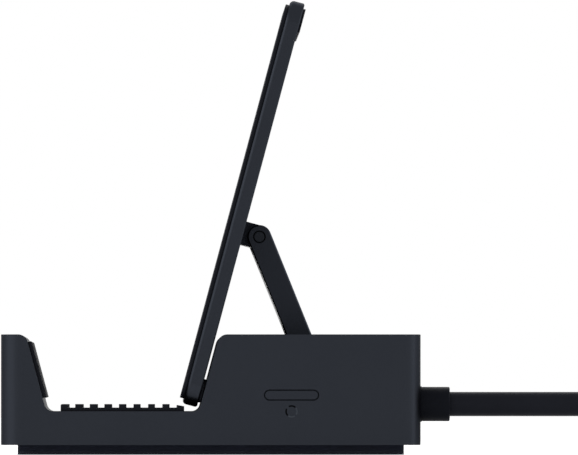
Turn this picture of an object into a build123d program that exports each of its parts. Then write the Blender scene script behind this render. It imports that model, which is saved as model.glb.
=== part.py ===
"""Dock for a handheld games console: a hollow housing with an open tray, a backrest plate on a folding
arm, rear sockets, a side button and a captive cable. Millimetres, +Z up, front towards -Y, origin at
the bottom centre of the housing."""

import math
import os

from build123d import *

# Housing
base_width = 120.0
base_depth = 88.0
base_top = 25.2
base_corner = 4.5
wall = 2.0
edge_break = 0.25
rim_break = 0.1
plinth_height = 2.0
plinth_inset = 3.5
foot_thickness = 0.8
cover_thickness = 2.2

# Tray between the lip and the rear block
lip_top_width = 5.2
rear_block_depth = 42.17
tray_z = 9.1
lean = 15.0
tray_top_round = 2.1
tray_foot_round = 1.75

# Soft pads
pad_thickness = 0.75
pad_side_inset = 1.5
rib_count = 9
rib_width = 1.46
rib_height = 0.75
tray_pad_front_gap = 3.0
tray_pad_rear_gap = 3.1
last_rib_front_drop = 0.2
last_rib_rear_drop = 0.45
first_rib_round = 0.35
lip_pad_length = 12.1
lip_pad_top_gap = 1.65

# Backrest plate, measured from the upper pin along the plate
plate_below_pin = 38.2
plate_above_pin = 49.35
plate_thickness = 3.1
plate_corner = 4.5
plate_front_round = 0.9
plate_edge_break = 0.25
plate_pad_inset = 1.1
rear_pad_thickness = 0.48
rear_pad_length = 5.0
pin_to_plate = 3.54

# Support arm and its two pins
arm_width = 40.0
arm_thickness = 5.0
arm_pin_spacing = 25.28
arm_lean = 22.0
lower_pin_from_rear = 24.15
lower_pin_depth = 2.7
ear_width = 8.0
pin_radius = 1.07
pin_recess_radius = 1.35
pin_recess_depth = 0.8
press_clearance = 0.02
running_clearance = 0.05
washer_thickness = 0.4
washer_radius = 2.2
washer_clearance = 0.025
knuckle_notch_clearance = 0.4
slot_clearance = 0.3
well_side_wall = 4.0
well_wall = 1.8

# Board, its posts and the cover's screw bosses
board_top = 8.2
board_thickness = 1.6
board_side_gap = 5.0
board_notch = 15.0
board_depth = 28.0
board_rear_gap = 0.2
board_tab_gap = 4.5
board_tab_front_from_rear = 30.5
board_tab_rear_from_rear = 16.0
post_radius = 2.2
post_inset = 3.6
post_socket_gap = 3.0
boss_radius = 2.8
boss_side_inset = 11.0
boss_front_inset = 20.0
boss_rear_inset = 36.0
thread_clearance = 0.03
cover_screw_radius = 1.0
cover_screw_head_radius = 1.9
cover_screw_head_height = 1.0
cover_screw_length = 5.4
board_screw_radius = 0.78
board_screw_head_radius = 1.35
board_screw_head_height = 0.9
board_screw_length = 4.4
knuckle_screw_radius = 0.8
knuckle_screw_head_radius = 1.7
knuckle_screw_head_height = 1.2
knuckle_screw_length = 4.0
knuckle_screw_inset = 2.55

# Light guide and strip round the cover
guide_gap = 0.1
guide_height = 1.0
strip_thickness = 0.4
strip_width = 1.6

# Rear sockets in a row, each with its outer width, outer height and depth
port_setback = 0.5
port_gap = 0.15
shell_wall = 0.3
core_clearance = 0.02
network_width, network_height, network_depth = 16.0, 13.2, 20.0
network_cavity_width = 11.8
network_cavity_height = 8.2
network_cavity_depth = 13.0
network_cavity_floor = 3.4
network_latch_width = 6.0
network_latch_height = 2.0
data_count = 3
data_width, data_height, data_depth = 13.2, 5.8, 14.0
data_tongue_width = 11.2
data_tongue_thickness = 1.84
data_tongue_length = 9.0
data_tongue_top_gap = 0.8
video_width, video_height, video_depth = 15.0, 5.6, 11.5
video_bevel = 1.6
video_tongue_width = 10.6
video_tongue_thickness = 1.2
video_tongue_length = 7.0
power_width, power_height, power_depth = 8.94, 3.16, 7.4
power_tongue_width = 6.7
power_tongue_thickness = 0.7
power_tongue_length = 5.0
chip_height = 1.0
chip_from_rear = 16.0
hub_chip = 10.0
video_chip = 8.0
power_chip = 6.0

# Side button
button_from_rear = 27.1
button_z = 12.47
button_length = 11.08
button_height = 1.84
button_gap = 0.26
button_depth = 3.0
button_flange = 0.8
button_flange_thickness = 0.8
button_edge_break = 0.05
button_travel = 0.5
switch_width = 6.0
switch_depth = 4.5
switch_plunger_radius = 0.9
switch_clearance = 0.05

# Strain relief, cable and plug
cable_from_side = 9.0
cable_z = 10.6
cable_radius = 2.54
cable_tail_radius = 2.4
cable_tail_length = 15.2
relief_radius = 3.6
relief_length = 6.16
relief_end_round = 0.3
relief_collar_radius = 3.75
relief_collar_length = 0.25
relief_neck_radius = 3.0
relief_neck_clearance = 0.05
relief_anchor_radius = 4.2
relief_anchor_length = 1.8
cable_run_share = 0.45
plug_length = 20.0
plug_width = 10.6
plug_height = 6.0
plug_round = 1.2
plug_shell_width = 8.25
plug_shell_height = 2.4
plug_shell_length = 6.65
plug_shell_wall = 0.3

# Places worked out from the sizes above
slope = math.tan(math.radians(lean))
front_y = -base_depth / 2
rear_y = base_depth / 2
side_x = base_width / 2
lip_top_y = front_y + lip_top_width
lip_foot_y = lip_top_y + (base_top - tray_z) * slope
wall_top_y = rear_y - rear_block_depth
wall_foot_y = wall_top_y - (base_top - tray_z) * slope
tray_pad_start = lip_foot_y + tray_pad_front_gap
tray_pad_end = wall_foot_y - tray_pad_rear_gap
rib_pitch = (tray_pad_end - tray_pad_start - rib_width) / (rib_count - 1)
lower_pin_y = rear_y - lower_pin_from_rear
lower_pin_z = base_top - lower_pin_depth
arm_run = (-math.sin(math.radians(arm_lean)), math.cos(math.radians(arm_lean)))
upper_pin_y = lower_pin_y + arm_pin_spacing * arm_run[0]
upper_pin_z = lower_pin_z + arm_pin_spacing * arm_run[1]
cover_top = foot_thickness + cover_thickness
slot_half = arm_width / 2 + washer_thickness + 2 * washer_clearance
slot_floor = lower_pin_z - arm_thickness / 2 - slot_clearance
slot_rear = lower_pin_y + arm_thickness / 2 + slot_clearance
notch_half = arm_width / 2 - ear_width
knuckle_half = notch_half - washer_thickness - 2 * washer_clearance
knuckle_screw_reach = knuckle_half - knuckle_screw_inset
knuckle_screw_spots = [knuckle_screw_reach * share for share in (-1, -1 / 3, 1 / 3, 1)]
button_y = rear_y - button_from_rear
cable_x = side_x - cable_from_side

# The sockets share the rear wall between its left end and the cable with even gaps
port_mouth = rear_y - port_setback
port_floor = board_top
socket_widths = [network_width] + [data_width] * data_count + [video_width, power_width]
socket_row_start = wall - side_x
socket_row = cable_x - relief_anchor_radius - socket_row_start
socket_gap = (socket_row - sum(socket_widths)) / (len(socket_widths) + 1)
socket_xs = []
for i, socket_width in enumerate(socket_widths):
    socket_xs.append(socket_row_start + (i + 1) * socket_gap + sum(socket_widths[:i]) + socket_width / 2)
network_x, *data_xs, video_x, power_x = socket_xs

# The board, with its screws at two front corners and ahead of two sockets
board_left = board_side_gap - side_x
board_right = side_x - board_notch
board_tab_right = side_x - board_tab_gap
board_front = rear_y - board_depth
board_tab_front = rear_y - board_tab_front_from_rear
board_tab_rear = rear_y - board_tab_rear_from_rear
post_spots = [
    (board_left + post_inset, board_front + post_inset),
    (board_right - post_inset, board_front + post_inset),
    (data_xs[0], port_mouth - data_depth - post_socket_gap),
    (power_x, port_mouth - power_depth - post_socket_gap),
]
boss_xs = [boss_side_inset - side_x, 0.0, side_x - boss_side_inset]
boss_ys = [front_y + boss_front_inset, rear_y - boss_rear_inset]
boss_spots = [(x, y) for x in boss_xs for y in boss_ys]
chip_spots = [(data_xs[1], hub_chip), (data_xs[2], video_chip), (video_x, power_chip)]

# The cable leaves level, comes down to the table behind the dock and bends round to the left
cable_points = [
    (cable_x, rear_y + relief_length, cable_z),
    (cable_x, rear_y + 41.0, cable_z),
    (cable_x - 18.0, rear_y + 70.5, 5.0),
    (cable_x - 51.0, rear_y + 83.0, 2.6),
    (cable_x - 86.0, rear_y + 79.0, 2.65),
    (cable_x - 118.0, rear_y + 66.0, 3.05),
]

# The plate's own frame: X across, Y up along the plate, Z out of its front, zero on its back face
plate_front = Vector(0, -math.cos(math.radians(lean)), math.sin(math.radians(lean)))
plate_plane = Plane(
    origin=Vector(0, upper_pin_y, upper_pin_z) + plate_front * pin_to_plate,
    x_dir=(1, 0, 0),
    z_dir=plate_front,
)
plate_length = plate_below_pin + plate_above_pin
plate_middle = (plate_above_pin - plate_below_pin) / 2


def block(x0, x1, y0, y1, z0, z1):
    """A box between two corners."""
    centre = Pos((x0 + x1) / 2, (y0 + y1) / 2, (z0 + z1) / 2)
    return centre * Box(x1 - x0, y1 - y0, z1 - z0)


def post(x, y, radius, z0, z1):
    """A round post standing on z0."""
    return Pos(x, y, (z0 + z1) / 2) * Cylinder(radius, z1 - z0)


def rod_x(y, z, radius, x0, x1):
    """A round rod along X."""
    return Pos((x0 + x1) / 2, y, z) * Rot(0, 90, 0) * Cylinder(radius, x1 - x0)


def rod_y(x, z, radius, y0, y1):
    """A round rod along Y."""
    return Pos(x, (y0 + y1) / 2, z) * Rot(90, 0, 0) * Cylinder(radius, y1 - y0)


def slab(width, depth, corner, z0, z1):
    """A plate with rounded corners, lying flat."""
    return Pos(0, 0, z0) * extrude(RectangleRounded(width, depth, corner), z1 - z0)


def across(face, half):
    """A side-view face, drawn in Y and Z, pulled out to both sides."""
    return extrude(Plane.YZ * face, half, both=True)


def from_rear(face, depth):
    """A face seen from the rear, drawn in X and Z about the mouth of a socket, pulled towards the front."""
    plane = Plane(origin=(0, port_mouth, 0), x_dir=(1, 0, 0), z_dir=(0, -1, 0))
    return extrude(plane * face, depth)


def housing_profile():
    """Side view of the housing: lip, tray and rear block, with the tray's four round corners."""
    outline = Polyline(
        (front_y, plinth_height),
        (front_y, base_top),
        (lip_top_y, base_top),
        (lip_foot_y, tray_z),
        (wall_foot_y, tray_z),
        (wall_top_y, base_top),
        (rear_y, base_top),
        (rear_y, plinth_height),
        close=True,
    )
    face = make_face(outline)

    def corner(y, z):
        return face.vertices().sort_by_distance((y, z, 0))[0]

    face = fillet([corner(lip_top_y, base_top), corner(wall_top_y, base_top)], tray_top_round)
    face = fillet([corner(lip_foot_y, tray_z), corner(wall_foot_y, tray_z)], tray_foot_round)
    return face


def housing_body():
    """The housing's outer form, with its upper edges broken."""
    plan = slab(base_width, base_depth, base_corner, 0, base_top)
    body = across(housing_profile(), side_x) & plan
    rim = [e for e in body.edges() if on_rim(e)]
    return chamfer(rim, rim_break)


def on_rim(edge):
    """True for the edges where the housing's upper faces meet its upright outer walls."""
    middle = edge @ 0.5
    upright = abs((edge % 0.5).Z) > 0.999
    near_side = abs(middle.X) > side_x - base_corner and abs((edge % 0.5).X) < 0.999
    near_end = abs(middle.Y) > base_depth / 2 - base_corner and middle.Z > base_top - edge_break
    return middle.Z > plinth_height + edge_break and not upright and (near_side or near_end)


def housing_cavity():
    """The hollow inside, open at the bottom, leaving the hinge well and the screw bosses standing."""
    inner = offset(housing_profile(), -wall, kind=Kind.INTERSECTION)
    mouth_depth = base_depth - 2 * wall
    mouth = Pos(0, plinth_height + wall / 2) * Rectangle(mouth_depth, 3 * wall)
    plan = slab(
        base_width - 2 * wall, base_depth - 2 * wall, base_corner - wall, plinth_height - wall, base_top
    )
    hollow = across(inner + mouth, side_x) & plan
    well_half = slot_half + well_side_wall
    hollow -= block(-well_half, well_half, front_y, slot_rear + well_wall, slot_floor - well_wall, base_top)
    for x, y in boss_spots:
        hollow -= post(x, y, boss_radius, cover_top, base_top)
    return hollow


def pill(length, height):
    """A flat shape with half-round ends."""
    return SlotOverall(length, height)


def base_housing():
    """Hollow housing with the arm's slot, the pin's bores, the socket holes and the button's hole."""
    housing = housing_body() - housing_cavity()
    housing -= block(-slot_half, slot_half, wall_foot_y, slot_rear, slot_floor, base_top + wall)
    pin_half = slot_half + well_side_wall
    housing -= rod_x(lower_pin_y, lower_pin_z, pin_radius + press_clearance, -pin_half, pin_half)
    for x, y in boss_spots:
        screw_top = foot_thickness + cover_screw_head_height + cover_screw_length
        housing -= post(x, y, cover_screw_radius + thread_clearance, plinth_height, screw_top)
    for hole in (network_outline, video_outline, power_outline):
        housing -= from_rear(hole(port_gap), 2 * wall).moved(Pos(0, wall, 0))
    for x in data_xs:
        housing -= from_rear(data_outline(x, port_gap), 2 * wall).moved(Pos(0, wall, 0))
    neck = relief_neck_radius + relief_neck_clearance
    housing -= rod_y(cable_x, cable_z, neck, rear_y - 2 * wall, rear_y + wall)
    hole = pill(button_length + 2 * button_gap, button_height + 2 * button_gap)
    housing -= extrude(Plane.YZ.offset(side_x - 2 * wall) * Pos(button_y, button_z) * hole, 3 * wall)
    return housing


def bottom_cover():
    """Closes the housing from below, with posts for the board and seats for its own screws."""
    cover = slab(
        base_width - 2 * plinth_inset,
        base_depth - 2 * plinth_inset,
        base_corner - plinth_inset,
        foot_thickness,
        cover_top,
    )
    post_top = board_top - board_thickness
    for x, y in post_spots:
        cover += post(x, y, post_radius, cover_top, post_top)
        hole_bottom = board_top - board_screw_length
        cover -= post(x, y, board_screw_radius + thread_clearance, hole_bottom, post_top)
    head_top = foot_thickness + cover_screw_head_height
    for x, y in boss_spots:
        cover -= post(x, y, cover_screw_radius + running_clearance, foot_thickness, cover_top)
        cover -= post(x, y, cover_screw_head_radius + running_clearance, foot_thickness, head_top)
    return cover


def foot_mat():
    """Rubber mat under the cover, which the dock stands on."""
    width = base_width - 2 * plinth_inset
    depth = base_depth - 2 * plinth_inset
    return slab(width, depth, base_corner - plinth_inset, 0, foot_thickness)


def ring(width, depth, corner, band, z0, z1):
    """A flat frame with rounded outer corners."""
    hole = slab(width - 2 * band, depth - 2 * band, max(corner - band, edge_break), z0, z1)
    return slab(width, depth, corner, z0, z1) - hole


def light_guide():
    """Frosted strip between the cover and the housing's walls, facing down."""
    width = base_width - 2 * wall - 2 * guide_gap
    depth = base_depth - 2 * wall - 2 * guide_gap
    corner = base_corner - wall - guide_gap
    band = plinth_inset - wall - 2 * guide_gap
    return ring(width, depth, corner, band, plinth_height, plinth_height + guide_height)


def light_strip():
    """Thin flexible board with the lights, on top of the light guide."""
    width = base_width - 2 * wall - 2 * guide_gap
    depth = base_depth - 2 * wall - 2 * guide_gap
    corner = base_corner - wall - guide_gap
    base = plinth_height + guide_height
    return ring(width, depth, corner, strip_width, base, base + strip_thickness)


def tray_pad():
    """Ribbed mat on the tray's floor; the last rib is lower, so that the backrest's foot swings over it."""
    top = tray_z + pad_thickness + rib_height
    middle = (tray_pad_start + tray_pad_end) / 2
    sheet = Pos(middle, tray_z + pad_thickness / 2) * Rectangle(tray_pad_end - tray_pad_start, pad_thickness)
    for i in range(rib_count):
        rib_middle = tray_pad_start + i * rib_pitch + rib_width / 2
        sheet += Pos(rib_middle, (tray_z + top) / 2) * Rectangle(rib_width, top - tray_z)
    last_rib_start = tray_pad_end - rib_width
    cut = Polyline(
        (last_rib_start, top),
        (last_rib_start, top - last_rib_front_drop),
        (tray_pad_end, top - last_rib_rear_drop),
        (tray_pad_end, top),
        close=True,
    )
    sheet -= make_face(cut)
    first_corner = sheet.vertices().sort_by_distance((tray_pad_start, top))[0]
    sheet = fillet(first_corner, first_rib_round)
    return across(sheet, side_x - pad_side_inset)


def lip_pad():
    """Flat pad on the sloping inner face of the lip."""
    down = (math.sin(math.radians(lean)), -math.cos(math.radians(lean)))
    out = (math.cos(math.radians(lean)), math.sin(math.radians(lean)))
    along = lip_pad_top_gap + lip_pad_length / 2
    middle_y = lip_top_y + down[0] * along + out[0] * pad_thickness / 2
    middle_z = base_top + down[1] * along + out[1] * pad_thickness / 2
    face = Pos(middle_y, middle_z) * Rot(0, 0, lean) * Rectangle(pad_thickness, lip_pad_length)
    return across(face, side_x - pad_side_inset)


def main_board():
    """Circuit board on the cover's posts, with a tab under the switch and the cable's tail."""
    board_bottom = board_top - board_thickness
    board_rear = rear_y - wall - board_rear_gap
    board = block(board_left, board_right, board_front, board_rear, board_bottom, board_top)
    board += block(
        board_right, board_tab_right, board_tab_front, board_tab_rear, board_bottom, board_top
    )
    for x, y in post_spots:
        board -= post(x, y, board_screw_radius + running_clearance, board_bottom, board_top)
    return board


def board_chips():
    """The hub, video and power chips under the board."""
    top = board_top - board_thickness
    middle = rear_y - chip_from_rear
    chips = []
    for x, size in chip_spots:
        half = size / 2
        chips.append(block(x - half, x + half, middle - half, middle + half, top - chip_height, top))
    return chips


def network_outline(grow=0.0):
    """Outer outline of the network socket, seen from the rear."""
    middle = port_floor + network_height / 2
    return Pos(network_x, middle) * Rectangle(network_width + 2 * grow, network_height + 2 * grow)


def data_outline(x, grow=0.0):
    """Outer outline of one data socket, seen from the rear."""
    middle = port_floor + data_height / 2
    return Pos(x, middle) * RectangleRounded(data_width + 2 * grow, data_height + 2 * grow, shell_wall)


def video_outline(grow=0.0):
    """Outer outline of the video socket, seen from the rear: a box with its lower corners cut."""
    half = video_width / 2 + grow
    low = port_floor - grow
    high = port_floor + video_height + grow
    outline = Polyline(
        (-half, high),
        (half, high),
        (half, low + video_bevel),
        (half - video_bevel, low),
        (-half + video_bevel, low),
        (-half, low + video_bevel),
        close=True,
    )
    return Pos(video_x, 0) * make_face(outline)


def power_outline(grow=0.0):
    """Outer outline of the power socket, seen from the rear."""
    middle = port_floor + power_height / 2
    return Pos(power_x, middle) * pill(power_width + 2 * grow, power_height + 2 * grow)


def port_shell(outline, depth):
    """A socket's metal shell, open at both ends."""
    return from_rear(outline(0) - outline(-shell_wall), depth)


def port_core(outline, depth, tongue_length, tongue):
    """A socket's plastic core: a block that fills the back of the shell and the tongue in front of it."""
    plug = from_rear(outline(-shell_wall - core_clearance), depth)
    inset = port_setback + shell_wall
    mouth = from_rear(outline(0), depth - (depth - tongue_length - inset))
    blade = from_rear(tongue, depth).moved(Pos(0, -inset, 0))
    return plug - mouth + (blade & plug)


def network_shell():
    """Metal shield of the network socket."""
    return port_shell(network_outline, network_depth)


def network_core():
    """Plastic core of the network socket, with the plug's cavity and the latch's channel under it."""
    core = from_rear(network_outline(-shell_wall - core_clearance), network_depth)
    floor = port_floor + network_cavity_floor
    cavity = Pos(network_x, floor + network_cavity_height / 2)
    cavity = cavity * Rectangle(network_cavity_width, network_cavity_height)
    latch = Pos(network_x, floor) * Rectangle(network_latch_width, 2 * network_latch_height)
    return core - from_rear(cavity + latch, network_cavity_depth)


def data_parts(x):
    """Shell and core of one data socket."""

    def outline(grow):
        return data_outline(x, grow)

    blade_top = port_floor + data_height - shell_wall - data_tongue_top_gap
    tongue = Pos(x, blade_top - data_tongue_thickness / 2)
    tongue = tongue * Rectangle(data_tongue_width, data_tongue_thickness)
    shell = port_shell(outline, data_depth)
    return shell, port_core(outline, data_depth, data_tongue_length, tongue)


def video_parts():
    """Shell and core of the video socket."""
    tongue = Pos(video_x, port_floor + video_height / 2)
    tongue = tongue * Rectangle(video_tongue_width, video_tongue_thickness)
    shell = port_shell(video_outline, video_depth)
    return shell, port_core(video_outline, video_depth, video_tongue_length, tongue)


def power_parts():
    """Shell and core of the power socket."""
    tongue = Pos(power_x, port_floor + power_height / 2)
    tongue = tongue * Rectangle(power_tongue_width, power_tongue_thickness)
    shell = port_shell(power_outline, power_depth)
    return shell, port_core(power_outline, power_depth, power_tongue_length, tongue)


def light_button():
    """Pill-shaped button, flush with the housing's side, with a flange behind the wall."""
    place = Pos(button_y, button_z)
    cap = extrude(
        Plane.YZ.offset(side_x - button_depth) * place * pill(button_length, button_height), button_depth
    )
    cap = chamfer(cap.faces().sort_by(Axis.X)[-1].edges(), button_edge_break)
    wide = pill(button_length + 2 * button_flange, button_height + 2 * button_flange)
    flange = extrude(Plane.YZ.offset(side_x - button_depth) * place * wide, button_flange_thickness)
    return cap + flange


def button_switch():
    """Side-acting switch on the board's tab, with its plunger behind the button."""
    reach = side_x - button_depth - button_travel - switch_clearance
    back = board_tab_right - switch_depth
    half = switch_width / 2
    top = button_z + switch_plunger_radius + shell_wall
    body = block(back, board_tab_right, button_y - half, button_y + half, board_top, top)
    return body + rod_x(button_y, button_z, switch_plunger_radius, board_tab_right, reach)


def pan_screw(radius, length, head_radius, head_height):
    """A pan-head screw standing on its head, head up from zero, shank above it."""
    return Pos(0, 0, head_height / 2) * Cylinder(head_radius, head_height) + Pos(
        0, 0, head_height + length / 2
    ) * Cylinder(radius, length)


def cover_screws():
    """Screws that hold the cover to the housing's bosses."""
    screw = pan_screw(
        cover_screw_radius, cover_screw_length, cover_screw_head_radius, cover_screw_head_height
    )
    return [Pos(x, y, foot_thickness) * screw for x, y in boss_spots]


def board_screws():
    """Screws that hold the board to the cover's posts."""
    screw = pan_screw(
        board_screw_radius, board_screw_length, board_screw_head_radius, board_screw_head_height
    )
    height = board_top + board_screw_head_height
    return [Pos(x, y, height) * Rot(180, 0, 0) * screw for x, y in post_spots]


def lower_hinge_pin():
    """Pin pressed into the walls of the hinge well."""
    half = slot_half + well_side_wall
    return rod_x(lower_pin_y, lower_pin_z, pin_radius, -half, half)


def washer_pair(y, z, start):
    """A friction washer on each side, from start outwards."""
    hole = pin_radius + running_clearance
    pair = []
    for side in (-1, 1):
        near = side * start
        far = side * (start + washer_thickness)
        disc = rod_x(y, z, washer_radius, min(near, far), max(near, far))
        pair.append(disc - rod_x(y, z, hole, min(near, far), max(near, far)))
    return pair


def support_arm():
    """Folding arm with round ends, split at the top into two ears for the plate's knuckle."""
    middle = Pos((lower_pin_y + upper_pin_y) / 2, (lower_pin_z + upper_pin_z) / 2)
    profile = middle * SlotCenterToCenter(arm_pin_spacing, arm_thickness, rotation=90 + arm_lean)
    arm = across(profile, arm_width / 2)
    ends = arm.faces().sort_by(Axis.X)
    arm = chamfer(ends[0].edges() + ends[-1].edges(), edge_break)
    gap = arm_thickness / 2 + knuckle_notch_clearance
    notch = Pos(upper_pin_y, upper_pin_z) * Rot(0, 0, arm_lean)
    notch = notch * Pos(0, arm_thickness / 2) * Rectangle(2 * arm_thickness, 2 * gap + arm_thickness)
    arm -= across(notch, notch_half)
    half = arm_width / 2
    arm -= rod_x(lower_pin_y, lower_pin_z, pin_radius + running_clearance, -half, half)
    arm -= rod_x(upper_pin_y, upper_pin_z, pin_radius + press_clearance, -half, half)
    for side in (-1, 1):
        outer = side * half
        inner = side * (half - pin_recess_depth)
        ends = (min(outer, inner), max(outer, inner))
        arm -= rod_x(upper_pin_y, upper_pin_z, pin_recess_radius, *ends)
    return arm


def upper_hinge_pin():
    """Pin pressed into the arm's ears, its ends flush with them."""
    return rod_x(upper_pin_y, upper_pin_z, pin_radius, -arm_width / 2, arm_width / 2)


def on_plate(width, length, corner, middle, z0, z1):
    """A rounded slab lying on the plate, in the plate's own frame."""
    face = Pos(0, middle, z0) * RectangleRounded(width, length, corner)
    return plate_plane * extrude(face, z1 - z0)


def backrest_plate():
    """Flat plate that the console leans on, with seats for the knuckle's screws."""
    face = Pos(0, plate_middle) * RectangleRounded(base_width, plate_length, plate_corner)
    plate = extrude(face, plate_thickness)
    plate = fillet(plate.faces().sort_by(Axis.Z)[-1].edges(), plate_front_round)
    plate = chamfer(plate.faces().sort_by(Axis.Z)[0].edges(), plate_edge_break)
    for x in knuckle_screw_spots:
        plate -= post(x, 0, knuckle_screw_radius + thread_clearance, 0, plate_thickness)
        seat = plate_thickness - knuckle_screw_head_height
        plate -= post(x, 0, knuckle_screw_head_radius + running_clearance, seat, plate_thickness)
    return plate_plane * plate


def backrest_pad():
    """Soft sheet over the plate's front."""
    return on_plate(
        base_width - 2 * plate_pad_inset,
        plate_length - 2 * plate_pad_inset,
        plate_corner - plate_pad_inset,
        plate_middle,
        plate_thickness,
        plate_thickness + pad_thickness,
    )


def rear_pad(end, towards):
    """Soft strip on the plate's back, set in from one end of the plate."""
    middle = end + towards * (plate_pad_inset + rear_pad_length / 2)
    width = base_width - 2 * plate_pad_inset
    return on_plate(width, rear_pad_length, rear_pad_length / 3, middle, -rear_pad_thickness, 0)


def hinge_knuckle():
    """Knuckle on the plate's back that turns on the upper pin."""
    stem = Pos(0, -pin_to_plate / 2) * Rectangle(arm_thickness, pin_to_plate)
    face = stem + Pos(0, -pin_to_plate) * Circle(arm_thickness / 2)
    face -= Pos(0, -pin_to_plate) * Circle(pin_radius + running_clearance)
    knuckle = extrude(Plane.YZ * face, knuckle_half, both=True)
    depth = knuckle_screw_length + knuckle_screw_head_height - plate_thickness
    for x in knuckle_screw_spots:
        knuckle -= post(x, 0, knuckle_screw_radius + thread_clearance, -depth, 0)
    return plate_plane * knuckle


def knuckle_screws():
    """Screws through the plate into the knuckle, under the front pad."""
    screw = pan_screw(
        knuckle_screw_radius, knuckle_screw_length, knuckle_screw_head_radius, knuckle_screw_head_height
    )
    turned = Pos(0, 0, plate_thickness) * Rot(180, 0, 0) * screw
    return [plate_plane * Pos(x, 0, 0) * turned for x in knuckle_screw_spots]


def strain_relief():
    """Short round sleeve on the rear wall, with a collar outside and an anchor inside."""
    end = rear_y + relief_length
    sleeve = rod_y(cable_x, cable_z, relief_radius, rear_y, end)
    sleeve = fillet(sleeve.edges().sort_by(Axis.Y)[-1], relief_end_round)
    sleeve += rod_y(cable_x, cable_z, relief_collar_radius, rear_y, rear_y + relief_collar_length)
    inside = rear_y - wall
    sleeve += rod_y(cable_x, cable_z, relief_neck_radius, inside, rear_y)
    return sleeve + rod_y(cable_x, cable_z, relief_anchor_radius, inside - relief_anchor_length, inside)


def cable_tail():
    """The cable's end inside the housing, lying on the board's tab."""
    end = rear_y - wall - relief_anchor_length
    return rod_y(cable_x, cable_z, cable_tail_radius, end - cable_tail_length, end)


def cable():
    """Cable outside the housing: straight runs joined by tangent arcs, down to the table and round."""
    points = [Vector(*p) for p in cable_points]
    radii = []
    for a, b, c in zip(points, points[1:], points[2:]):
        turn = (b - a).get_angle(c - b)
        run = min((b - a).length, (c - b).length)
        radii.append(cable_run_share * run / math.tan(math.radians(turn / 2)))
    path = FilletPolyline(*points, radius=radii)
    section = Plane(origin=points[0], z_dir=points[1] - points[0]) * Circle(cable_radius)
    tube = sweep(section, path=path)
    print("cable radii", [round(r, 1) for r in radii], "length", round(path.length, 1))
    print("cable volume over section times length", tube.volume / (math.pi * cable_radius**2 * path.length))
    return tube


def plug_frame():
    """Frame at the cable's far end: Z along the cable, X level."""
    end = Vector(*cable_points[-1])
    along = end - Vector(*cable_points[-2])
    level = Vector(-along.Y, along.X, 0).normalized()
    return Plane(origin=end, x_dir=level, z_dir=along)


def plug_grip():
    """Moulded grip of the plug."""
    grip = extrude(RectangleRounded(plug_width, plug_height, plug_height / 2 - plug_round), plug_length)
    grip = chamfer(grip.faces().sort_by(Axis.Z)[-1].edges(), plug_round / 2)
    return plug_frame() * grip


def plug_shell():
    """Metal tip of the plug."""
    face = pill(plug_shell_width, plug_shell_height)
    face -= pill(plug_shell_width - 2 * plug_shell_wall, plug_shell_height - 2 * plug_shell_wall)
    return plug_frame() * Pos(0, 0, plug_length) * extrude(face, plug_shell_length)


def dock():
    """Every piece by name."""
    pieces = {
        "base_housing": base_housing(),
        "bottom_cover": bottom_cover(),
        "foot_mat": foot_mat(),
        "light_guide": light_guide(),
        "light_strip": light_strip(),
        "tray_pad": tray_pad(),
        "lip_pad": lip_pad(),
        "main_board": main_board(),
        "board_chips": board_chips(),
        "network_port_shell": network_shell(),
        "network_port_core": network_core(),
        "button_switch": button_switch(),
        "cover_screws": cover_screws(),
        "board_screws": board_screws(),
        "lower_hinge_pin": lower_hinge_pin(),
        "lower_hinge_washers": washer_pair(lower_pin_y, lower_pin_z, arm_width / 2 + washer_clearance),
        "strain_relief": strain_relief(),
        "cable_tail": cable_tail(),
        "cable": cable(),
        "plug_grip": plug_grip(),
        "plug_shell": plug_shell(),
        "light_button": light_button(),
        "support_arm": support_arm(),
        "upper_hinge_pin": upper_hinge_pin(),
        "upper_hinge_washers": washer_pair(upper_pin_y, upper_pin_z, knuckle_half + washer_clearance),
        "backrest_plate": backrest_plate(),
        "backrest_pad": backrest_pad(),
        "lower_rear_pad": rear_pad(-plate_below_pin, 1),
        "upper_rear_pad": rear_pad(plate_above_pin, -1),
        "hinge_knuckle": hinge_knuckle(),
        "knuckle_screws": knuckle_screws(),
    }
    for i, x in enumerate(data_xs, 1):
        pieces[f"data_port_{i}_shell"], pieces[f"data_port_{i}_core"] = data_parts(x)
    pieces["video_port_shell"], pieces["video_port_core"] = video_parts()
    pieces["power_port_shell"], pieces["power_port_core"] = power_parts()
    return pieces


def write(pieces):
    """One file per piece; a set of fasteners is one file of several solids."""
    os.makedirs("parts", exist_ok=True)
    for name, shape in pieces.items():
        solids = shape if isinstance(shape, list) else shape.solids()
        whole = solids[0] if len(solids) == 1 else Compound(children=list(solids))
        whole.label = name
        export_step(whole, f"parts/{name}.step")


write(dock())
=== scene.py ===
"""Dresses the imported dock: camera, lead, soft pads, socket contacts, button sign, finishes and studio."""

import math

import bmesh
import bpy
from mathutils import Matrix, Vector


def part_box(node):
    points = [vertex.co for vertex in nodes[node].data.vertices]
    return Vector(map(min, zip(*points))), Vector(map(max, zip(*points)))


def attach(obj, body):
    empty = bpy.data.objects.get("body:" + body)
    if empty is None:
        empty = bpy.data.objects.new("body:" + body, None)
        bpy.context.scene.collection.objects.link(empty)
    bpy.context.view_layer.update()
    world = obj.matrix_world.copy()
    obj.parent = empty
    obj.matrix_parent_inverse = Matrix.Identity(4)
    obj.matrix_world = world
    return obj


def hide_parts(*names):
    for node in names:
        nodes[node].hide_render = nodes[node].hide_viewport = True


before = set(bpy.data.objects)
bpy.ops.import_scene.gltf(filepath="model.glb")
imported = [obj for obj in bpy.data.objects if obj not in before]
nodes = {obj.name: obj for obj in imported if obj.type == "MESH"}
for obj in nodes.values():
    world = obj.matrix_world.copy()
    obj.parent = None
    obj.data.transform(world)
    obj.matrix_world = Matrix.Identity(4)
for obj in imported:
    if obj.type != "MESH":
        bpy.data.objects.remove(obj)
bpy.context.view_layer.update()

MM = 0.001

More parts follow.
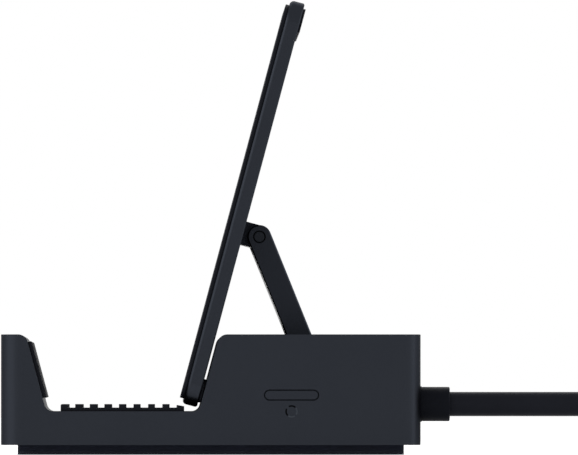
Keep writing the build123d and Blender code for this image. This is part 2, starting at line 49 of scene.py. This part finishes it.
# The photograph's frame and places in it, in pixels, and the size of a pixel on the dock
FRAME_WIDTH_PX = 578
DOCK_CENTRE_PX = 211.0
TABLE_PX = 454.5
EYE_LEVEL_PX = (150.0, 404.0)
AIM_PX = (289.0, 227.75)
PIXEL = 0.20986 * MM

# The camera, and the depth behind the dock's near side at which a pixel has that size
OUTLINE_DEPTH = 7.7 * MM
LENS = 1330.0
SENSOR = 36.0
NEAREST_SEEN = 0.1
FARTHEST_SEEN = 100.0

# The lead's route in millimetres, as the solids have it, but straight for longer behind the housing
LEAD_POINTS = [
    (51.0, 50.16, 10.6),
    (51.0, 63.0, 10.6),
    (51.0, 92.0, 10.6),
    (33.0, 114.5, 5.0),
    (0.0, 127.0, 2.6),
    (-35.0, 123.0, 2.65),
    (-67.0, 110.0, 3.05),
]
LEAD_DIAMETER = 5.08 * MM
LEAD_ROUNDNESS = 8
LEAD_STEPS = 24

# The plug's ringed boot: places along the lead from the plug, and the rise above the jacket, in millimetres
BOOT_OUTLINE = [
    (0.0, 0.42), (0.8, 0.42), (1.0, 0.22), (1.6, 0.22), (1.8, 0.38), (2.6, 0.38),
    (2.8, 0.2), (3.4, 0.2), (3.6, 0.33), (4.4, 0.33), (4.9, 0.05),
]
BOOT_STEPS = 32
PLUG_EDGE = 0.5 * MM

# The black rings of painted shade in the gaps round the pin's ends: gaps from the pin and depths below the
# arm's side, in millimetres
PIN_GAP_SHADE_SECTION = [(0.02, 0.76), (0.02, 0.22), (0.06, 0.18), (0.21, 0.18), (0.25, 0.22), (0.25, 0.76)]
PIN_GAP_SHADE_STEPS = 48

# The rubber pads: solid, piece, body, finish and the width of the soft edges in millimetres
SOFT_PADS = [
    ("tray_pad", "ribbed_tray_mat", "base", "rubber", 0.1),
    ("lip_pad", "lip_cushion_strip", "base", "rubber", 0.12),
    ("backrest_pad", "backrest_sheet", "backrest", "rubber", 0.14),
    ("lower_rear_pad", "lower_rear_bumper", "backrest", "rubber", 0.1),
    ("upper_rear_pad", "upper_rear_bumper", "backrest", "rubber", 0.1),
    ("foot_mat", "foot_sheet", "base", "foot", 0.1),
]

# The round sign under the button, and its arcs in degrees clockwise from the top
SIGN_BEHIND_MIDDLE = 16.9 * MM
SIGN_HEIGHT = 9.05 * MM
SIGN_INNER = 0.99 * MM
SIGN_OUTER = 1.31 * MM
SIGN_PROUD = 0.012 * MM
SIGN_STEPS = 24
SIGN_ARCS = [
    ("sign_arc_top", -29, 44, "sign_dark"),
    ("sign_arc_right", 52, 126, "sign_pale"),
    ("sign_arc_bottom", 145, 215, "sign_pale"),
    ("sign_arc_left", 223, 298, "sign_dark"),
]

# Contacts on the sockets' tongues
CONTACT_HALF = 0.05 * MM
CONTACT_EDGE = 0.02 * MM

# The network socket's wires: setbacks from its mouth and drops from its roof
SOCKET_ROOF = 1.28 * MM
WIRE_COUNT = 8
WIRE_PITCH = 1.02 * MM
WIRE_WIDTH = 0.4 * MM
WIRE_THICKNESS = 0.25 * MM
WIRE_EDGE = 0.06 * MM
WIRE_START_SETBACK = 2.4 * MM
WIRE_START_DROP = 0.25 * MM
WIRE_END_SETBACK = 10.5 * MM
WIRE_END_DROP = 3.0 * MM

# Which corners of a mesh are crisp, rounded or none, and how its soft edges are made
CRISP_ANGLE = math.radians(40)
CORNER_ANGLE = math.radians(30)
FLAT_ANGLE = math.radians(1)
WELD_GAP = 0.001 * MM
SOFT_EDGE_STEPS = 3

# Colours, in linear light
ANODISED = (0.0228, 0.0256, 0.0322)
ANODISED_ARM = (0.0158, 0.0177, 0.0224)
# The knuckle's anodised colour, darkened as painted shade for its set-back place behind the arm
PAINTED_SHADE_KNUCKLE = (0.0150, 0.0168, 0.0226)
ANODISED_EDGE = (0.49, 0.49, 0.49, 1.0)
RUBBER = (0.0070, 0.0080, 0.0120)
FOOT_RUBBER = (0.0260, 0.0290, 0.0400)
MOULDED = (0.0076, 0.0085, 0.0122)
PLINTH = (0.0165, 0.0190, 0.0310)
LEAD_JACKET = (0.0135, 0.0146, 0.0196)
SATIN = (0.0088, 0.0096, 0.0126)
STEEL = (0.46, 0.46, 0.47)
DARK_STEEL = (0.0180, 0.0200, 0.0245)
NICKEL = (0.60, 0.59, 0.56)
GOLD = (0.78, 0.53, 0.20)
BOARD = (0.010, 0.040, 0.022)
FROSTED = (0.72, 0.74, 0.76)
# Near black, painted shade for the rings in the gaps round the pin's ends
PIN_GAP_SHADE = (0.0010, 0.0011, 0.0015)
# The sign's arcs: dark at the top and left, pale at the right and bottom
SIGN_DARK = (0.0008, 0.0009, 0.0012)
SIGN_PALE = (0.050, 0.058, 0.071)

# The part of a noise's range that is used, and how far finishes vary and rise
NOISE_LOW = 0.3
NOISE_HIGH = 0.7
GRAIN_GLOSS_SPREAD = 0.03
GRAIN_DEPTH = 0.03 * MM
DRAWN_SPREAD = 0.12
DRAWN_GLOSS_SPREAD = 0.06
DRAWN_BUMP = 0.2
DRAWN_DEPTH = 0.01 * MM
DRAWN_STRETCH = (0.03, 1.0, 1.0)

# Two dark parts of the world's light: a gap beside the rear panel, and a low band along the far side
GAP_DIRECTION = (0.80, 0.60, 0.0)
FAR_DIRECTION = (-1.0, 0.0, 0.0)
FAR_FLATNESS = 2.5

# The floor and the point that all lamps face
FLOOR_HALF = 12.0
FLOOR_DROP = 0.2 * MM
FLOOR_COLOUR = (0.8, 0.8, 0.8, 1.0)
FLOOR_GLOW = 0.7
LAMP_AIM = Vector((0, 0, 0.04))


def on_side(pixel):
    """A pixel of the photograph as a point on the dock's near side."""
    near_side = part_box("base_housing")[1][0]
    return Vector((near_side, (pixel[0] - DOCK_CENTRE_PX) * PIXEL, (TABLE_PX - pixel[1]) * PIXEL))


def set_camera():
    """A long lens level with the tray's floor, so that both ends of the tray line up as in the photograph."""
    middle = on_side(AIM_PX)
    distance = FRAME_WIDTH_PX * PIXEL * LENS / SENSOR - OUTLINE_DEPTH
    eye = on_side(EYE_LEVEL_PX) + Vector((distance, 0, 0))
    data = bpy.data.cameras.new("side_camera")
    data.lens = LENS
    data.sensor_width = SENSOR
    data.clip_start = NEAREST_SEEN
    data.clip_end = FARTHEST_SEEN
    camera = bpy.data.objects.new("side_camera", data)
    camera.location = eye
    camera.rotation_euler = (middle - eye).to_track_quat("-Z", "Y").to_euler()
    bpy.context.scene.collection.objects.link(camera)
    bpy.context.scene.camera = camera


def new_piece(name, data, material):
    """Puts a mesh or curve into the scene with one material."""
    piece = bpy.data.objects.new(name, data)
    data.materials.append(material)
    bpy.context.scene.collection.objects.link(piece)
    return piece


def mesh_from(bm, name):
    """Turns a bmesh into a mesh with smooth faces and crisp corners."""
    bmesh.ops.recalc_face_normals(bm, faces=bm.faces)
    mesh = bpy.data.meshes.new(name)
    bm.to_mesh(mesh)
    bm.free()
    mesh.shade_smooth()
    mesh.set_sharp_from_angle(angle=CRISP_ANGLE)
    return mesh


def bevel_corners(bm, width, segments):
    """Rounds every corner of a bmesh that is sharper than a gentle bend."""
    corners = [e for e in bm.edges if e.is_manifold and e.calc_face_angle() > CORNER_ANGLE]
    bmesh.ops.bevel(
        bm, geom=corners, offset=width, offset_type="OFFSET", segments=segments, profile=0.5,
        affect="EDGES", clamp_overlap=True,
    )


def rounded_copy(node, name, edge, material, body):
    """A node's shape with the soft edges of a moulded piece, in the node's place."""
    bm = bmesh.new()
    bm.from_mesh(nodes[node].data)
    bmesh.ops.remove_doubles(bm, verts=bm.verts, dist=WELD_GAP)
    bmesh.ops.dissolve_limit(bm, angle_limit=FLAT_ANGLE, verts=bm.verts, edges=bm.edges)
    bevel_corners(bm, edge, SOFT_EDGE_STEPS)
    piece = new_piece(name, mesh_from(bm, name), material)
    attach(piece, body)
    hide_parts(node)
    return piece


def add_bar(bm, low, high):
    """A box between two corners, added to a bmesh."""
    low = Vector(low)
    high = Vector(high)
    size = high - low
    place = Matrix.Translation((low + high) / 2) @ Matrix.Diagonal((*size, 1))
    bmesh.ops.create_cube(bm, size=1, matrix=place)


def turned_ring(name, centre, axis, section, steps, material):
    """A ring turned about an axis from a closed section of places along the axis and radii."""
    turn = axis.to_track_quat("Z", "Y").to_matrix()
    bm = bmesh.new()
    rows = []
    for i in range(steps):
        angle = math.tau * i / steps
        out = turn @ Vector((math.cos(angle), math.sin(angle), 0))
        rows.append([bm.verts.new(centre + axis * along + out * radius) for along, radius in section])
    for i, a in enumerate(rows):
        b = rows[(i + 1) % steps]
        for j in range(len(section)):
            k = (j + 1) % len(section)
            bm.faces.new((a[j], a[k], b[k], b[j]))
    return new_piece(name, mesh_from(bm, name), material)


# Shader groups

def grain_group():
    """Fine grain for bump, and broad soft patches, in the piece's own space."""
    group = bpy.data.node_groups.new("fine_grain", "ShaderNodeTree")
    group.interface.new_socket("Grains per metre", in_out="INPUT", socket_type="NodeSocketFloat")
    group.interface.new_socket("Patches per metre", in_out="INPUT", socket_type="NodeSocketFloat")
    group.interface.new_socket("Height", in_out="OUTPUT", socket_type="NodeSocketFloat")
    group.interface.new_socket("Patch", in_out="OUTPUT", socket_type="NodeSocketFloat")
    inputs = group.nodes.new("NodeGroupInput")
    outputs = group.nodes.new("NodeGroupOutput")
    place = group.nodes.new("ShaderNodeTexCoord")
    fine = group.nodes.new("ShaderNodeTexNoise")
    fine.inputs["Detail"].default_value = 3.0
    fine.inputs["Roughness"].default_value = 0.6
    broad = group.nodes.new("ShaderNodeTexNoise")
    broad.inputs["Detail"].default_value = 2.0
    group.links.new(place.outputs["Object"], fine.inputs["Vector"])
    group.links.new(place.outputs["Object"], broad.inputs["Vector"])
    group.links.new(inputs.outputs["Grains per metre"], fine.inputs["Scale"])
    group.links.new(inputs.outputs["Patches per metre"], broad.inputs["Scale"])
    group.links.new(fine.outputs["Fac"], outputs.inputs["Height"])
    group.links.new(broad.outputs["Fac"], outputs.inputs["Patch"])
    return group


def drawn_group():
    """Fine lines along X, as drawing or turning leaves them."""
    group = bpy.data.node_groups.new("drawn_lines", "ShaderNodeTree")
    group.interface.new_socket("Lines per metre", in_out="INPUT", socket_type="NodeSocketFloat")
    group.interface.new_socket("Lines", in_out="OUTPUT", socket_type="NodeSocketFloat")
    inputs = group.nodes.new("NodeGroupInput")
    outputs = group.nodes.new("NodeGroupOutput")
    place = group.nodes.new("ShaderNodeTexCoord")
    stretch = group.nodes.new("ShaderNodeMapping")
    stretch.inputs["Scale"].default_value = DRAWN_STRETCH
    lines = group.nodes.new("ShaderNodeTexNoise")
    lines.inputs["Detail"].default_value = 2.0
    group.links.new(place.outputs["Object"], stretch.inputs["Vector"])
    group.links.new(stretch.outputs["Vector"], lines.inputs["Vector"])
    group.links.new(inputs.outputs["Lines per metre"], lines.inputs["Scale"])
    group.links.new(lines.outputs["Fac"], outputs.inputs["Lines"])
    return group


FINE_GRAIN = grain_group()
DRAWN_LINES = drawn_group()


# Finishes

def shades(colour, spread):
    """A colour, darker and lighter by a share."""
    dark = [c * (1 - spread) for c in colour] + [1.0]
    light = [c * (1 + spread) for c in colour] + [1.0]
    return dark, light


def start_material(name):
    """A new material with its tree and its shader."""
    material = bpy.data.materials.new(name)
    material.use_nodes = True
    return material, material.node_tree, material.node_tree.nodes["Principled BSDF"]


def add_ramp(tree, value, low, high):
    """Turns a noise value into a colour between two colours."""
    ramp = tree.nodes.new("ShaderNodeValToRGB")
    ramp.color_ramp.elements[0].position = NOISE_LOW
    ramp.color_ramp.elements[0].color = low
    ramp.color_ramp.elements[1].position = NOISE_HIGH
    ramp.color_ramp.elements[1].color = high
    tree.links.new(value, ramp.inputs["Fac"])
    return ramp.outputs["Color"]


def add_range(tree, value, low, high):
    """Spreads a noise value over a range."""
    spread = tree.nodes.new("ShaderNodeMapRange")
    spread.inputs["From Min"].default_value = NOISE_LOW
    spread.inputs["From Max"].default_value = NOISE_HIGH
    spread.inputs["To Min"].default_value = low
    spread.inputs["To Max"].default_value = high
    tree.links.new(value, spread.inputs["Value"])
    return spread.outputs["Result"]


def add_bump(tree, shader, height, strength, distance):
    """Feeds a height into the shader's normal."""
    bump = tree.nodes.new("ShaderNodeBump")
    bump.inputs["Strength"].default_value = strength
    bump.inputs["Distance"].default_value = distance
    tree.links.new(height, bump.inputs["Height"])
    tree.links.new(bump.outputs["Normal"], shader.inputs["Normal"])


def grained(name, colour, spread, roughness, grains, patches, bump, metallic=0.0, specular=0.5):
    """A finish with fine grain in its bump and soft patches in its colour and gloss."""
    material, tree, shader = start_material(name)
    grain = tree.nodes.new("ShaderNodeGroup")
    grain.node_tree = FINE_GRAIN
    grain.inputs["Grains per metre"].default_value = grains
    grain.inputs["Patches per metre"].default_value = patches
    patch = grain.outputs["Patch"]
    dark, light = shades(colour, spread)
    tree.links.new(add_ramp(tree, patch, dark, light), shader.inputs["Base Color"])
    gloss = add_range(tree, patch, roughness - GRAIN_GLOSS_SPREAD, roughness + GRAIN_GLOSS_SPREAD)
    tree.links.new(gloss, shader.inputs["Roughness"])
    add_bump(tree, shader, grain.outputs["Height"], bump, GRAIN_DEPTH)
    shader.inputs["Metallic"].default_value = metallic
    shader.inputs["Specular IOR Level"].default_value = specular
    return material


def drawn_metal(name, colour, roughness, lines):
    """Bare metal with fine lines along X."""
    material, tree, shader = start_material(name)
    drawn = tree.nodes.new("ShaderNodeGroup")
    drawn.node_tree = DRAWN_LINES
    drawn.inputs["Lines per metre"].default_value = lines
    line = drawn.outputs["Lines"]
    dark, light = shades(colour, DRAWN_SPREAD)
    tree.links.new(add_ramp(tree, line, dark, light), shader.inputs["Base Color"])
    gloss = add_range(tree, line, roughness - DRAWN_GLOSS_SPREAD, roughness + DRAWN_GLOSS_SPREAD)
    tree.links.new(gloss, shader.inputs["Roughness"])
    add_bump(tree, shader, line, DRAWN_BUMP, DRAWN_DEPTH)
    shader.inputs["Metallic"].default_value = 1.0
    return material


def anodised(name, colour, roughness):
    """Blasted and anodised aluminium: a dark satin metal with an even fine grain."""
    material = grained(
        name, colour, spread=0.03, roughness=roughness, grains=6500.0, patches=60.0, bump=0.10, metallic=1.0,
    )
    shader = material.node_tree.nodes["Principled BSDF"]
    shader.inputs["Specular Tint"].default_value = ANODISED_EDGE
    return material


def rubber(name, colour, roughness, grains, patches, bump, specular):
    """Matt rubber with a coarse skin."""
    return grained(
        name, colour, spread=0.12, roughness=roughness, grains=grains, patches=patches, bump=bump,
        specular=specular,
    )


def plastic(name, colour, roughness, bump, specular):
    """Moulded plastic with the fine grain of its mould."""
    return grained(
        name, colour, spread=0.10, roughness=roughness, grains=5000.0, patches=120.0, bump=bump,
        specular=specular,
    )


def plated(name, colour, spread, roughness, patches):
    """Bright plating on small stamped pieces."""
    return grained(
        name, colour, spread=spread, roughness=roughness, grains=3000.0, patches=patches, bump=0.05,
        metallic=1.0,
    )


def sign_tone(name, colour, specular):
    """The matt finish of the round sign's arcs, in a dark or a pale tone."""
    return grained(
        name, colour, spread=0.05, roughness=0.7, grains=5000.0, patches=200.0, bump=0.08, specular=specular,
    )


finishes = {
    "anodised": anodised("anodised_housing", ANODISED, roughness=0.36),
    "anodised_arm": anodised("anodised_arm", ANODISED_ARM, roughness=0.27),
    # The knuckle's darker copy of the anodised finish is painted shade
    "anodised_knuckle_painted_shade": anodised("anodised_knuckle_painted_shade", PAINTED_SHADE_KNUCKLE, roughness=0.36),
    "rubber": rubber(
        "soft_pad_rubber", RUBBER, roughness=0.62, grains=5200.0, patches=110.0, bump=0.25, specular=0.10,
    ),
    "foot": rubber(
        "foot_rubber", FOOT_RUBBER, roughness=0.68, grains=4200.0, patches=90.0, bump=0.3, specular=0.06,
    ),
    "moulded": plastic("moulded_plastic", MOULDED, roughness=0.50, bump=0.18, specular=0.03),
    "plinth": plastic("plinth_plastic", PLINTH, roughness=0.50, bump=0.18, specular=0.06),
    "satin": plastic("satin_plastic", SATIN, roughness=0.40, bump=0.15, specular=0.22),
    "lead": grained(
        "lead_jacket", LEAD_JACKET, spread=0.10, roughness=0.48, grains=3800.0, patches=70.0, bump=0.12,
        specular=0.03,
    ),
    "steel": drawn_metal("pin_steel", STEEL, roughness=0.32, lines=5000.0),
    "dark_steel": drawn_metal("blackened_pin", DARK_STEEL, roughness=0.4, lines=5000.0),
    "nickel": plated("socket_nickel", NICKEL, spread=0.06, roughness=0.28, patches=240.0),
    "gold": plated("contact_gold", GOLD, spread=0.05, roughness=0.25, patches=300.0),
    "board": grained(
        "board_lacquer", BOARD, spread=0.2, roughness=0.35, grains=2500.0, patches=260.0, bump=0.1,
    ),
    "frosted": grained(
        "frosted_strip", FROSTED, spread=0.02, roughness=0.6, grains=3500.0, patches=120.0, bump=0.15,
    ),
    # Near-black rings of painted shade round the pin's ends
    "pin_gap_shade": grained(
        "painted_pin_gap_shade", PIN_GAP_SHADE, spread=0.08, roughness=0.6, grains=5000.0, patches=200.0, bump=0.1, specular=0.04,
    ),
    "sign_dark": sign_tone("sign_dark", SIGN_DARK, specular=0.02),
    "sign_pale": sign_tone("sign_pale", SIGN_PALE, specular=0.05),
}

NODE_FINISHES = {
    "anodised": ["base_housing", "backrest_plate", "light_button"],
    "anodised_arm": ["support_arm"],
    "anodised_knuckle_painted_shade": ["hinge_knuckle"],
    "moulded": ["strain_relief"],
    "plinth": ["bottom_cover"],
    "satin": [
        "network_port_core", "data_port_1_core", "data_port_2_core", "data_port_3_core",
        "video_port_core", "power_port_core", "board_chips", "button_switch",
    ],
    "lead": ["cable_tail"],
    "steel": [
        "cover_screws", "board_screws", "knuckle_screws", "lower_hinge_washers", "upper_hinge_washers",
    ],
    "dark_steel": ["lower_hinge_pin", "upper_hinge_pin"],
    "nickel": [
        "network_port_shell", "data_port_1_shell", "data_port_2_shell", "data_port_3_shell",
        "video_port_shell", "power_port_shell", "plug_shell",
    ],
    "board": ["main_board", "light_strip"],
    "frosted": ["light_guide"],
}


def dress_nodes():
    """Gives every solid that stays in view its finish."""
    for finish, names in NODE_FINISHES.items():
        for name in names:
            mesh = nodes[name].data
            mesh.materials.clear()
            mesh.materials.append(finishes[finish])


# Pieces

def soft_pads():
    """The rubber pads, with rounded edges, in place of their plain solids."""
    for node, name, body, finish, edge in SOFT_PADS:
        rounded_copy(node, name, edge * MM, finishes[finish], body)


def plug_pieces():
    """The plug's moulded grip and the short ringed boot on the lead's end."""
    grip = rounded_copy("plug_grip", "plug_moulding", PLUG_EDGE, finishes["satin"], "base")
    end = Vector(LEAD_POINTS[-1]) * MM
    back = (Vector(LEAD_POINTS[-2]) * MM - end).normalized()
    radius = LEAD_DIAMETER / 2
    section = [(along * MM, radius + rise * MM) for along, rise in BOOT_OUTLINE]
    section += [(section[-1][0], radius), (section[0][0], radius)]
    boot = turned_ring("plug_boot", end, back, section, BOOT_STEPS, finishes["satin"])
    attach(boot, "base")
    return [grip, boot, nodes["plug_shell"]]


def captive_lead(pieces_on_it):
    """The captive lead on its own smooth line."""
    curve = bpy.data.curves.new("captive_lead", "CURVE")
    curve.dimensions = "3D"
    curve.bevel_depth = LEAD_DIAMETER / 2
    curve.bevel_resolution = LEAD_ROUNDNESS
    curve.resolution_u = LEAD_STEPS
    curve.use_fill_caps = True
    line = curve.splines.new("NURBS")
    line.points.add(len(LEAD_POINTS) - 1)
    for point, place in zip(line.points, LEAD_POINTS):
        point.co = (*(Vector(place) * MM), 1.0)
    line.order_u = 3
    line.use_endpoint_u = True
    piece = new_piece("captive_lead", curve, finishes["lead"])
    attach(piece, "base")
    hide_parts("cable")


def add_pin_gap_shade(name, side):
    """A black ring of painted shade round one end of the upper pin, sunk a little below the arm's side."""
    low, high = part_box("upper_hinge_pin")
    radius = (high[1] - low[1]) / 2
    end = high[0] if side > 0 else low[0]
    centre = Vector((end, (low[1] + high[1]) / 2, (low[2] + high[2]) / 2))
    section = [(depth * MM, radius + gap * MM) for gap, depth in PIN_GAP_SHADE_SECTION]
    pin_gap_shade = turned_ring(name, centre, Vector((-side, 0, 0)), section, PIN_GAP_SHADE_STEPS, finishes["pin_gap_shade"])
    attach(pin_gap_shade, "arm")


def add_pin_gap_shades():
    """A black ring of painted shade at each end of the pin that the plate turns on."""
    add_pin_gap_shade("pin_gap_shade_near", 1)
    add_pin_gap_shade("pin_gap_shade_far", -1)


def sign_arc(name, start, end, material):
    """One arc of the round sign, half sunk into the housing's near side."""
    near_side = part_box("base_housing")[1][0]
    centre = Vector((near_side, SIGN_BEHIND_MIDDLE, SIGN_HEIGHT))
    bm = bmesh.new()
    rows = []
    for i in range(SIGN_STEPS + 1):
        angle = math.radians(start + (end - start) * i / SIGN_STEPS)
        out = Vector((0, math.sin(angle), math.cos(angle)))
        row = []
        for radius in (SIGN_INNER, SIGN_OUTER):
            for lift in (-SIGN_PROUD, SIGN_PROUD):
                row.append(bm.verts.new(centre + out * radius + Vector((lift, 0, 0))))
        rows.append(row)
    for a, b in zip(rows, rows[1:]):
        for j, k in ((0, 1), (1, 3), (3, 2), (2, 0)):
            bm.faces.new((a[j], a[k], b[k], b[j]))
    for row in (rows[0], rows[-1]):
        bm.faces.new((row[0], row[1], row[3], row[2]))
    arc = new_piece(name, mesh_from(bm, name), material)
    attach(arc, "base")


def button_sign():
    """A ring of four arcs, the two at the top and left dark, the two at the right and bottom pale."""
    for name, start, end, finish in SIGN_ARCS:
        sign_arc(name, start, end, finishes[finish])


def contact_row(name, node, count, pitch, width, top, length, setback):
    """A row of gold strips on a socket's tongue, in millimetres from the socket's floor and mouth."""
    low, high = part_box(node)
    middle = (low[0] + high[0]) / 2
    half = width * MM / 2
    rear = high[1] - setback * MM
    front = rear - length * MM
    z = low[2] + top * MM
    bm = bmesh.new()
    for i in range(count):
        x = middle + (i - (count - 1) / 2) * pitch * MM
        add_bar(bm, (x - half, front, z - CONTACT_HALF), (x + half, rear, z + CONTACT_HALF))
    bevel_corners(bm, CONTACT_EDGE, 1)
    row = new_piece(name, mesh_from(bm, name), finishes["gold"])
    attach(row, "base")


def network_wires():
    """Sprung wires that slope down from the roof of the network socket."""
    low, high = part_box("network_port_core")
    middle = (low[0] + high[0]) / 2
    roof = high[2] - SOCKET_ROOF
    start = Vector((0, high[1] - WIRE_START_SETBACK, roof - WIRE_START_DROP))
    end = Vector((0, high[1] - WIRE_END_SETBACK, roof - WIRE_END_DROP))
    slant = (end - start).to_track_quat("Y", "Z").to_matrix().to_4x4()
    size = Matrix.Diagonal((WIRE_WIDTH, (end - start).length, WIRE_THICKNESS, 1))
    bm = bmesh.new()
    for i in range(WIRE_COUNT):
        x = middle + (i - (WIRE_COUNT - 1) / 2) * WIRE_PITCH
        place = Matrix.Translation((start + end) / 2 + Vector((x, 0, 0))) @ slant
        bmesh.ops.create_cube(bm, size=1, matrix=place @ size)
    bevel_corners(bm, WIRE_EDGE, 2)
    wires = new_piece("network_wires", mesh_from(bm, "network_wires"), finishes["gold"])
    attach(wires, "base")


def socket_contacts():
    """Contacts in all six rear sockets."""
    for i in (1, 2, 3):
        contact_row(
            f"data_contacts_{i}", f"data_port_{i}_core",
            count=4, pitch=2.3, width=1.0, top=2.54, length=7.0, setback=0.8,
        )
    for name, count, top in (("video_contacts_upper", 10, 3.08), ("video_contacts_lower", 9, 1.88)):
        contact_row(
            name, "video_port_core", count=count, pitch=1.0, width=0.5, top=top, length=6.0, setback=0.5,
        )
    for name, top in (("power_contacts_upper", 1.61), ("power_contacts_lower", 0.91)):
        contact_row(
            name, "power_port_core", count=12, pitch=0.5, width=0.27, top=top, length=4.0, setback=0.4,
        )
    network_wires()


# Studio

def combine(tree, operation, first, second):
    """Two values joined by one operation."""
    joined = tree.nodes.new("ShaderNodeMath")
    joined.operation = operation
    tree.links.new(first, joined.inputs[0])
    tree.links.new(second, joined.inputs[1])
    return joined.outputs["Value"]


def white_rays(tree, *kinds):
    """One for rays of the named kinds, else zero."""
    path = tree.nodes.new("ShaderNodeLightPath")
    total = path.outputs[kinds[0]]
    for kind in kinds[1:]:
        total = combine(tree, "MAXIMUM", total, path.outputs[kind])
    return total


def fade(tree, value, start, end, low):
    """Falls smoothly from one to a low level as a value goes from start to end."""
    level = tree.nodes.new("ShaderNodeMapRange")
    level.interpolation_type = "SMOOTHSTEP"
    level.inputs["From Min"].default_value = start
    level.inputs["From Max"].default_value = end
    level.inputs["To Min"].default_value = 1.0
    level.inputs["To Max"].default_value = low
    tree.links.new(value, level.inputs["Value"])
    return level.outputs["Result"]


def likeness(tree, direction, wanted, flatness=1.0):
    """How near a direction is to the wanted one, at most one; flatness narrows it up and down."""
    taller = tree.nodes.new("ShaderNodeVectorMath")
    taller.operation = "MULTIPLY"
    taller.inputs[1].default_value = (1.0, 1.0, flatness)
    tree.links.new(direction, taller.inputs[0])
    unit = tree.nodes.new("ShaderNodeVectorMath")
    unit.operation = "NORMALIZE"
    tree.links.new(taller.outputs["Vector"], unit.inputs[0])
    product = tree.nodes.new("ShaderNodeVectorMath")
    product.operation = "DOT_PRODUCT"
    product.inputs[1].default_value = wanted
    tree.links.new(unit.outputs["Vector"], product.inputs[0])
    return product.outputs["Value"]


def white_world():
    """White where it is seen or mirrored; its light on matt surfaces fades overhead and in two parts."""
    world = bpy.data.worlds.new("studio_world")
    world.use_nodes = True
    bpy.context.scene.world = world
    tree = world.node_tree
    back = tree.nodes["Background"]
    back.inputs["Color"].default_value = (1.0, 1.0, 1.0, 1.0)
    direction = tree.nodes.new("ShaderNodeTexCoord").outputs["Generated"]
    parts = tree.nodes.new("ShaderNodeSeparateXYZ")
    tree.links.new(direction, parts.inputs["Vector"])
    beside_rear = likeness(tree, direction, GAP_DIRECTION)
    along_far_side = likeness(tree, direction, FAR_DIRECTION, FAR_FLATNESS)
    overhead = fade(tree, parts.outputs["Z"], start=0.65, end=0.95, low=0.08)
    gap = fade(tree, beside_rear, start=0.86, end=0.98, low=0.0)
    far = fade(tree, along_far_side, start=0.21, end=0.64, low=0.0)
    shaped = combine(tree, "MULTIPLY", combine(tree, "MULTIPLY", overhead, gap), far)
    seen = white_rays(tree, "Is Camera Ray", "Is Glossy Ray", "Is Transmission Ray")
    tree.links.new(combine(tree, "MAXIMUM", shaped, seen), back.inputs["Strength"])


def white_floor():
    """A pale floor that keeps the dock's shadow."""
    bm = bmesh.new()
    bmesh.ops.create_grid(bm, x_segments=1, y_segments=1, size=FLOOR_HALF)
    mesh = bpy.data.meshes.new("studio_floor")
    bm.to_mesh(mesh)
    bm.free()
    material = bpy.data.materials.new("studio_floor")
    material.use_nodes = True
    tree = material.node_tree
    tree.nodes.remove(tree.nodes["Principled BSDF"])
    matt = tree.nodes.new("ShaderNodeBsdfDiffuse")
    matt.inputs["Color"].default_value = FLOOR_COLOUR
    glow = tree.nodes.new("ShaderNodeEmission")
    lift = tree.nodes.new("ShaderNodeMath")
    lift.operation = "MULTIPLY"
    lift.inputs[1].default_value = FLOOR_GLOW
    seen = white_rays(tree, "Is Camera Ray", "Is Glossy Ray", "Is Transmission Ray")
    tree.links.new(seen, lift.inputs[0])
    tree.links.new(lift.outputs["Value"], glow.inputs["Strength"])
    both = tree.nodes.new("ShaderNodeAddShader")
    tree.links.new(matt.outputs["BSDF"], both.inputs[0])
    tree.links.new(glow.outputs["Emission"], both.inputs[1])
    tree.links.new(both.outputs["Shader"], tree.nodes["Material Output"].inputs["Surface"])
    floor = new_piece("studio_floor", mesh, material)
    floor.location = (0, 0, -FLOOR_DROP)


def panel(name, place, width, height, power):
    """A soft rectangular lamp that faces the dock."""
    lamp = bpy.data.lights.new(name, "AREA")
    lamp.shape = "RECTANGLE"
    lamp.size = width
    lamp.size_y = height
    lamp.energy = power
    light = bpy.data.objects.new(name, lamp)
    light.location = place
    light.rotation_euler = (LAMP_AIM - Vector(place)).to_track_quat("-Z", "Y").to_euler()
    light.visible_camera = False
    bpy.context.scene.collection.objects.link(light)


def studio():
    """Soft panels before, behind and above the dock, and on its far side."""
    panel("front_panel", place=(0.55, -1.25, 0.3), width=1.2, height=0.9, power=3.4)
    panel("rear_panel", place=(0.20, 1.35, 0.3), width=0.45, height=0.9, power=1.9)
    panel("top_panel", place=(-1.05, -0.1, 1.2), width=1.4, height=0.8, power=5.5)
    panel("far_panel", place=(-1.2, 0.0, 0.9), width=1.4, height=0.4, power=2.4)
    panel("high_front_panel", place=(-0.1, -1.3, 0.62), width=0.8, height=0.4, power=2.2)
    panel("high_rear_panel", place=(-0.2, 1.3, 0.62), width=0.8, height=0.4, power=2.2)


set_camera()
dress_nodes()
soft_pads()
captive_lead(plug_pieces() + [nodes["strain_relief"]])
add_pin_gap_shades()
button_sign()
socket_contacts()
white_world()
white_floor()
studio()
bpy.context.scene.view_settings.view_transform = "Standard"
